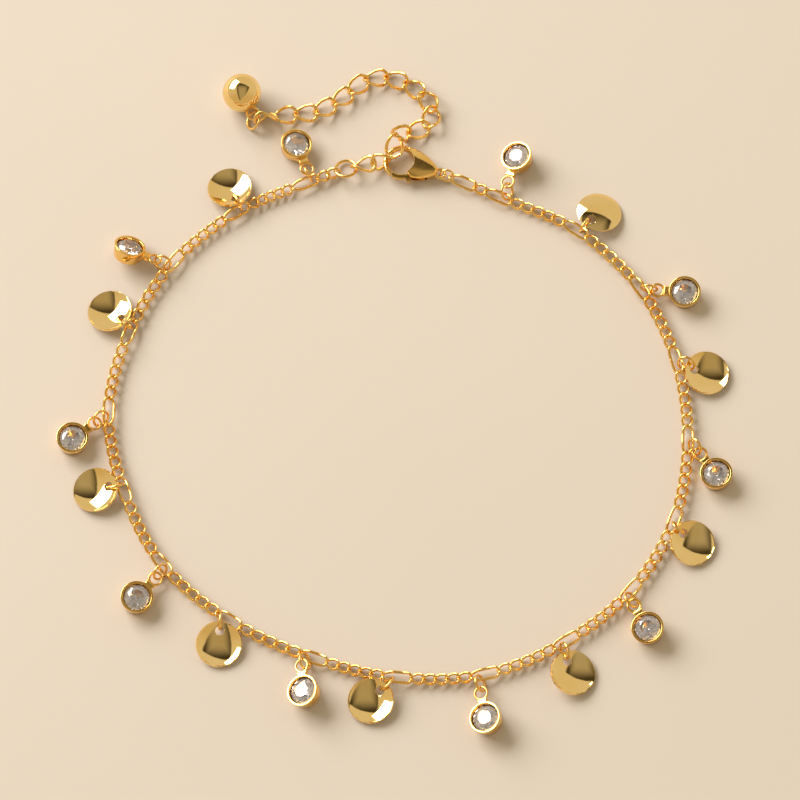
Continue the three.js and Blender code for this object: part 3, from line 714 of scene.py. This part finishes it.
def plating_group():
    """Thin gold plate over brass: slow colour drift, fine handling marks and a faint ripple."""
    group, given, made = new_group(
        "Gold plating",
        (("Pale gold", "NodeSocketColor"), ("Deep gold", "NodeSocketColor"), ("Smoothest", "NodeSocketFloat"),
         ("Roughest", "NodeSocketFloat"), ("Ripple", "NodeSocketFloat")),
        (("Colour", "NodeSocketColor"), ("Roughness", "NodeSocketFloat"), ("Height", "NodeSocketFloat")),
    )
    points = group.nodes.new("ShaderNodeTexCoord").outputs["Object"]
    drift = noise(group, points, 260)
    marks = noise(group, points, 3800, 5)
    mix = group.nodes.new("ShaderNodeMix")
    mix.data_type = "RGBA"
    group.links.new(spread(group, drift, 0, 1), mix.inputs["Factor"])
    group.links.new(given.outputs["Pale gold"], mix.inputs["A"])
    group.links.new(given.outputs["Deep gold"], mix.inputs["B"])
    group.links.new(mix.outputs["Result"], made.inputs["Colour"])
    group.links.new(spread(group, marks, given.outputs["Smoothest"], given.outputs["Roughest"]),
                    made.inputs["Roughness"])
    ripple = group.nodes.new("ShaderNodeMath")
    ripple.operation = "MULTIPLY"
    group.links.new(noise(group, points, 900), ripple.inputs[0])
    group.links.new(given.outputs["Ripple"], ripple.inputs[1])
    group.links.new(ripple.outputs["Value"], made.inputs["Height"])
    return group


def gold(name, plating, pale, deep, smoothest, roughest, ripple):
    """Gold-plated metal with its own colours, polish and ripple."""
    material = bpy.data.materials.new(name)
    material.use_nodes = True
    tree = material.node_tree
    shader = tree.nodes["Principled BSDF"]
    shader.inputs["Metallic"].default_value = 1
    detail = tree.nodes.new("ShaderNodeGroup")
    detail.node_tree = plating
    detail.inputs["Pale gold"].default_value = (*pale, 1)
    detail.inputs["Deep gold"].default_value = (*deep, 1)
    detail.inputs["Smoothest"].default_value = smoothest
    detail.inputs["Roughest"].default_value = roughest
    detail.inputs["Ripple"].default_value = ripple
    tree.links.new(detail.outputs["Colour"], shader.inputs["Base Color"])
    tree.links.new(detail.outputs["Roughness"], shader.inputs["Roughness"])
    bump = tree.nodes.new("ShaderNodeBump")
    bump.inputs["Distance"].default_value = 0.00004
    tree.links.new(detail.outputs["Height"], bump.inputs["Height"])
    tree.links.new(bump.outputs["Normal"], shader.inputs["Normal"])
    return material


def crystal(name):
    """Clear cut stone with a faint lavender body and very light handling marks."""
    material = bpy.data.materials.new(name)
    material.use_nodes = True
    tree = material.node_tree
    shader = tree.nodes["Principled BSDF"]
    shader.inputs["Transmission Weight"].default_value = 0.93
    shader.inputs["IOR"].default_value = 1.9
    points = tree.nodes.new("ShaderNodeTexCoord").outputs["Object"]
    tree.links.new(spread(tree, noise(tree, points, 1500), 0.0, 0.03), shader.inputs["Roughness"])
    tint = tree.nodes.new("ShaderNodeMix")
    tint.data_type = "RGBA"
    tint.inputs["A"].default_value = (0.98, 0.97, 1.0, 1)
    tint.inputs["B"].default_value = (0.9, 0.88, 0.96, 1)
    tree.links.new(noise(tree, points, 700), tint.inputs["Factor"])
    tree.links.new(tint.outputs["Result"], shader.inputs["Base Color"])
    return material


def table_top(name):
    """The pale surface: a matt paint with the slightest unevenness."""
    material = bpy.data.materials.new(name)
    material.use_nodes = True
    tree = material.node_tree
    shader = tree.nodes["Principled BSDF"]
    shader.inputs["Roughness"].default_value = 0.7
    points = tree.nodes.new("ShaderNodeTexCoord").outputs["Object"]
    mix = tree.nodes.new("ShaderNodeMix")
    mix.data_type = "RGBA"
    mix.inputs["A"].default_value = (0.69, 0.62, 0.53, 1)
    mix.inputs["B"].default_value = (0.66, 0.59, 0.5, 1)
    tree.links.new(noise(tree, points, 14), mix.inputs["Factor"])
    tree.links.new(mix.outputs["Result"], shader.inputs["Base Color"])
    return material


# Pieces

def add_main_chain(material):
    """The whole figaro chain, link by link, in place of the fused chain node."""
    long_model = model_link("long link", LONG_LINK, 50, 0.75, 24, 8, cuts=2)
    small_model = model_link("small link", SMALL_LINK, 50, 0.0, 20, 8)
    links = []
    for index, (x, y) in enumerate(LONG_LINKS):
        matrix = placing(x, y, LONG_LINK["height"], link_heading(index))
        links.append(copied(long_model, matrix))
        if 0 < index < len(LONG_LINKS) - 1:
            links.extend(run_of_small_links(small_model, index))
    links.extend(short_run(small_model, 0, (0,)))
    links.extend(short_run(small_model, len(LONG_LINKS) - 1, END_ROLLS))
    chain = join_pieces(links, "chain")
    settle(chain, "figaro_chain", "anklet", material, "gold_plate", "main_chain")
    for model in (long_model, small_model):
        bpy.data.objects.remove(model)


def run_of_small_links(model, index):
    """Five small links between two long ones, evenly spaced and a little lower in the middle."""
    size = SMALL_LINK
    hook = (size["length"] + LONG_LINK["wire"]) / 2 - size["wire"]
    samples = [route_point(index + 1 + step / 60) for step in range(61)]
    lengths = [0.0]
    for first, second in zip(samples, samples[1:]):
        lengths.append(lengths[-1] + (second - first).length)
    start = LONG_LINK["length"] / 2 - LONG_LINK["wire"] / 2 + hook - LONG_LINK["wire"] / 2
    pitch = (lengths[-1] - 2 * start) / (SMALL_LINKS_IN_RUN - 1)
    links = []
    for number in range(SMALL_LINKS_IN_RUN):
        distance = start + number * pitch
        here = next(i for i, length in enumerate(lengths) if length >= distance)
        direction = samples[min(here + 2, 60)] - samples[max(here - 2, 0)]
        part = (distance - lengths[here - 1]) / (lengths[here] - lengths[here - 1])
        spot = samples[here - 1].lerp(samples[here], part)
        near_end = number in (0, SMALL_LINKS_IN_RUN - 1)
        height = (size["height"] + LONG_LINK["height"]) / 2 if near_end else size["height"]
        matrix = placing(spot.x, spot.y, height, math.degrees(math.atan2(direction.y, direction.x)))
        links.append(copied(model, matrix @ Matrix.Diagonal((pitch / size["step"], 1, 1, 1))))
    return links


def short_run(model, index, rolls):
    """A few small links from a long link towards the next piece."""
    start = link_end(index, 1)
    target = link_end(index + 1, -1) if index + 1 < len(LONG_LINKS) else Vector(CHAIN_END)
    aim = target - start
    aim.normalize()
    half = (SMALL_LINK["length"] - LONG_LINK["wire"]) / 2
    overlap = 2 * half - SMALL_LINK["step"]
    links = []
    for step, roll in enumerate(rolls):
        spot = start + aim * (half - overlap + step * SMALL_LINK["step"])
        heading = link_heading(index) if step == 0 else math.degrees(math.atan2(aim.y, aim.x))
        links.append(copied(model, placing(spot.x, spot.y, LONG_LINK["height"], heading, 0, roll)))
    return links


def add_extender(material):
    """The sixteen extender links, each from the end of the one before."""
    model = model_link("extender link", EXTENDER_LINK, 50, 0.0, 28, 10)
    joint = Vector(EXTENDER_START)
    links = []
    for heading, climb, roll, lift in EXTENDER_LINKS:
        matrix = placing(*joint, heading, climb, roll)
        link = copied(model, matrix @ Matrix.Translation((EXTENDER_LINK["step"] / 2, 0, 0)))
        if lowest_point(link, Matrix.Identity(4)) < RING_ABOVE_TABLE:
            lower_to(link, RING_ABOVE_TABLE)
        links.append(link)
        joint = matrix @ Vector((EXTENDER_LINK["step"], 0, 0)) + Vector((0, 0, lift))
    bpy.data.objects.remove(model)
    settle(join_pieces(links, "extender"), "extender_links", "anklet", material, "gold_plate",
           "extender_chain")


def leaning_ring(model, ring, name, matrix, lean, material):
    """A copy of a ring that leans about its heading, low enough to touch the surface."""
    height = ring["radius"] * abs(math.sin(math.radians(lean))) + ring["wire"] / 2 + RING_ABOVE_TABLE
    place = matrix @ placing(0, 0, height, 0, 0, lean) @ Matrix.Rotation(math.radians(140), 4, "Z")
    settle(copied(model, place), name + "_wire", "anklet", material, "gold_plate", name)


def add_drops(plate, mirror, stone_finish):
    ring = model_jump_ring("drop ring", **DROP_RING)
    bezel = model_bezel("bezel")
    stone = model_stone("stone")
    disc = model_disc("disc")
    for link, (kind, end, swing, lean, out, hang, aside, roll, pitch) in enumerate(DROPS, start=1):
        number = f"{link:02d}"
        place = drop_place(link, end, swing)
        leaning_ring(ring, DROP_RING, f"drop_ring_{number}", place @ placing(out, 0, 0), lean, plate)
        if kind == "stone":
            add_stone_drop(number, place @ placing(hang, aside, 0), roll, pitch, bezel, stone, plate, stone_finish)
        else:
            add_disc_drop(number, place @ placing(hang, aside, 0), roll, pitch, kind == "domed disc", disc, mirror)
    for model in (ring, bezel, stone, disc):
        bpy.data.objects.remove(model)


def drop_place(link, end, swing):
    """The foot of a drop's ring on the outer rail of its long link, turned the way the drop lies."""
    x, y = LONG_LINKS[link]
    along = math.radians(link_heading(link))
    outward = along + math.pi / 2
    rail = (LONG_LINK["width"] - LONG_LINK["wire"]) / 2
    foot_x = x + end * RING_ALONG_LINK * math.cos(along) + rail * math.cos(outward)
    foot_y = y + end * RING_ALONG_LINK * math.sin(along) + rail * math.sin(outward)
    return placing(foot_x, foot_y, 0, math.degrees(outward) + swing)


def lowest_point(model, tip):
    return min((tip @ vert.co).z for vert in model.data.vertices)


def add_stone_drop(number, place, roll, pitch, bezel, stone, plate, stone_finish):
    tip = placing(0, 0, 0, 0, pitch, roll)
    matrix = place @ placing(BAIL_LOOP["radius"], 0, -lowest_point(bezel, tip)) @ tip
    settle(copied(bezel, matrix), f"bezel_cup_{number}", "anklet", plate, "gold_plate", f"bezel_{number}")
    stone_place = matrix @ placing(LOOP_TO_CUP, 0, 0)
    settle(copied(stone, stone_place), f"cut_stone_{number}", "anklet", stone_finish, "clear_stone",
           f"stone_{number}")


def add_disc_drop(number, place, roll, degrees, domed, disc, mirror):
    """A disc on its curved back, or domed side up on its edge, with its hole round the far side of its ring."""
    bend = (DISC["radius"] ** 2 + DISC["depth"] ** 2) / (2 * DISC["depth"])
    reach = DISC["radius"] - DISC["hole_from_rim"]
    slope = math.asin(reach / bend)
    hole_height = bend * (1 - math.cos(slope)) + DISC["sheet"] / 2
    pitch = math.radians(degrees)
    tip = placing(0, 0, 0, 0, -degrees, roll + (180 if domed else 0))
    if domed:
        from_hole = reach * math.cos(pitch) + hole_height * math.sin(pitch)
    else:
        from_hole = bend * (math.sin(slope + pitch) - math.sin(pitch))
    matrix = place @ placing(from_hole, 0, -lowest_point(disc, tip)) @ tip
    settle(copied(disc, matrix), f"dished_disc_{number}", "anklet", mirror, "polished_gold",
           f"disc_{number}")


def add_ball(plate, mirror):
    ring = model_jump_ring("ball ring model", **BALL_RING)
    leaning_ring(ring, BALL_RING, "ball_ring",
                 placing(BALL_RING_PLACE["x"], BALL_RING_PLACE["y"], 0, BALL_RING_PLACE["heading"]),
                 BALL_RING_LEAN, plate)
    bpy.data.objects.remove(ring)
    begin(bpy.ops.mesh.primitive_uv_sphere_add, segments=64, ring_count=48, radius=BALL["radius"],
          location=(BALL["loop_from_centre"], 0, BALL["radius"]))
    ball = finish_mesh(smooth_angle=60)
    begin(bpy.ops.mesh.primitive_torus_add, major_segments=36, minor_segments=12, major_radius=BALL["loop"],
          minor_radius=BALL["wire"] / 2, location=(0, 0, BALL["loop_height"]))
    loop = finish_mesh(smooth_angle=60)
    whole = join_pieces([ball, loop], "ball")
    bpy.ops.object.transform_apply(location=True, rotation=True, scale=True)
    whole.data.transform(placing(BALL_PLACE["x"], BALL_PLACE["y"], 0, BALL_PLACE["heading"]))
    settle(whole, "ball_and_loop", "anklet", mirror, "polished_gold", "ball_drop")


def add_end_ring(plate):
    end_ring = model_jump_ring("end ring model", END_RING["radius"], END_RING["wire"], 4, 44, 12)
    end_ring.data.transform(placing(END_RING["x"], END_RING["y"], END_RING["z"], END_RING["heading"],
                                    0, END_RING["roll"]))
    settle(end_ring, "end_ring_wire", "anklet", plate, "gold_plate", "end_ring")


def add_clasp(plate):
    place = placing(CLASP_PLACE["x"], CLASP_PLACE["y"], 0, CLASP_PLACE["heading"])
    body = join_pieces([model_clasp_body(), model_hook(), model_pin(), model_eye()], "clasp")
    body.data.transform(place)
    settle(body, "clasp_hook_and_body", "anklet", plate, "gold_plate", "clasp_body")
    lever = model_lever()
    lever.data.transform(place)
    settle(lever, "clasp_sprung_lever", "lever", plate, "gold_plate", "clasp_lever")
    eye = place @ Vector((CLASP_EYE["x"] + CLASP_EYE["radius"], 0, 0))
    link = link_end(0, -1)
    heading = math.degrees(math.atan2(link.y - eye.y, link.x - eye.x))
    ring = model_jump_ring("clasp ring model", **CLASP_RING)
    leaning_ring(ring, CLASP_RING, "clasp_ring",
                 placing((eye.x + link.x) / 2, (eye.y + link.y) / 2, 0, heading), CLASP_RING_LEAN, plate)
    bpy.data.objects.remove(ring)


# Surroundings

def add_floor():
    begin(bpy.ops.mesh.primitive_plane_add, size=6)
    floor = finish_mesh(smooth_angle=30)
    floor.name = "pale_table"
    floor.data.materials.append(table_top("Pale matt table"))


def add_panel(name, azimuth, elevation, distance, size, power, colour):
    """A soft panel that faces the anklet from a direction in degrees. Lengths in metres."""
    data = bpy.data.lights.new(name, "AREA")
    data.shape = "RECTANGLE"
    data.size, data.size_y = size
    data.energy = power
    data.color = colour
    light = bpy.data.objects.new(name, data)
    bpy.context.scene.collection.objects.link(light)
    flat = distance * math.cos(math.radians(elevation))
    height = distance * math.sin(math.radians(elevation))
    light.location = (*polar(flat, azimuth), height)
    light.rotation_euler = (-light.location).to_track_quat("-Z", "Y").to_euler()


def world_maths(tree, operation, first, second):
    """One step of arithmetic on sockets or plain numbers."""
    node = tree.nodes.new("ShaderNodeMath")
    node.operation = operation
    for value, given in ((first, node.inputs[0]), (second, node.inputs[1])):
        if hasattr(value, "is_linked"):
            tree.links.new(value, given)
        else:
            given.default_value = value
    return node.outputs["Value"]


def soft_step(tree, value, low, high):
    """A smooth mask that rises from 0 to 1 as the value goes from low to high, or falls if low is the larger."""
    node = tree.nodes.new("ShaderNodeMapRange")
    node.interpolation_type = "SMOOTHSTEP"
    node.inputs["From Min"].default_value = low
    node.inputs["From Max"].default_value = high
    tree.links.new(value, node.inputs["Value"])
    return node.outputs["Result"]


def add_studio():
    """A pale warm room under a dark overhead screen, with a bright window low at the upper left."""
    world = bpy.data.worlds.new("studio room")
    bpy.context.scene.world = world
    world.use_nodes = True
    tree = world.node_tree
    background = tree.nodes["Background"]
    direction = tree.nodes.new("ShaderNodeTexCoord").outputs["Generated"]
    parts = tree.nodes.new("ShaderNodeSeparateXYZ")
    tree.links.new(direction, parts.inputs["Vector"])
    x, y, z = (parts.outputs[label] for label in "XYZ")
    above = world_maths(tree, "MAXIMUM", z, 0.05)
    across = world_maths(tree, "DIVIDE", x, above)
    deep = world_maths(tree, "DIVIDE", y, above)
    far_edge = world_maths(tree, "SUBTRACT", deep, world_maths(tree, "MULTIPLY", across, SCREEN["turn"]))
    right_edge = world_maths(tree, "ADD", across, world_maths(tree, "MULTIPLY", deep, SCREEN["widen"]))
    screen = soft_step(tree, far_edge, *SCREEN["far"])
    for edge, limits in ((across, SCREEN["left"]), (right_edge, SCREEN["right"])):
        screen = world_maths(tree, "MULTIPLY", screen, soft_step(tree, edge, *limits))
    aside = world_maths(tree, "ABSOLUTE", world_maths(tree, "SUBTRACT", across, SCREEN["middle"]), 0.0)
    gloom = world_maths(tree, "MAXIMUM", soft_step(tree, deep, *SCREEN["fade"]),
                        soft_step(tree, aside, *SCREEN["sides"]))
    shade = mixed(tree, gloom, SCREEN["light"], SCREEN["dark"])
    room = mixed(tree, soft_step(tree, y, *ROOM["fade"]), ROOM["near"], ROOM["far"])
    tree.links.new(mixed(tree, screen, room, shade), background.inputs["Color"])
    background.inputs["Strength"].default_value = ROOM["strength"]
    for name, settings in PANELS.items():
        add_panel(name, *settings)


def mixed(tree, mask, first, second):
    """A colour between two, each a socket or a plain colour, by a mask."""
    node = tree.nodes.new("ShaderNodeMix")
    node.data_type = "RGBA"
    tree.links.new(mask, node.inputs["Factor"])
    for value, given in ((first, node.inputs["A"]), (second, node.inputs["B"])):
        if hasattr(value, "is_linked"):
            tree.links.new(value, given)
        else:
            given.default_value = (*value, 1)
    return node.outputs["Result"]


def add_camera():
    camera_data = bpy.data.cameras.new("photograph view")
    camera_data.lens = CAMERA_LENS
    camera_data.sensor_width = 36
    camera_data.clip_start = 0.01
    camera_data.clip_end = 20
    camera = bpy.data.objects.new("photograph view", camera_data)
    bpy.context.scene.collection.objects.link(camera)
    elevation = math.radians(VIEW_ELEVATION)
    towards = Vector((0, -math.cos(elevation), math.sin(elevation)))
    camera.location = (FOOTPRINT_SHIFT + towards * CAMERA_DISTANCE) * MM
    camera.rotation_euler = (math.pi / 2 - elevation, 0, 0)
    bpy.context.scene.camera = camera


bpy.context.scene.view_settings.view_transform = "Standard"
add_camera()
add_floor()
add_studio()

plating = plating_group()
plate = gold("Gold plate", plating, (0.98, 0.68, 0.24), (0.9, 0.52, 0.12), 0.08, 0.18, 0.6)
mirror = gold("Mirror gold", plating, (0.98, 0.74, 0.34), (0.94, 0.66, 0.24), 0.03, 0.08, 0.2)
stone_finish = crystal("Clear stone")

add_main_chain(plate)
add_drops(plate, mirror, stone_finish)
add_extender(plate)
add_ball(plate, mirror)
add_end_ring(plate)
add_clasp(plate)
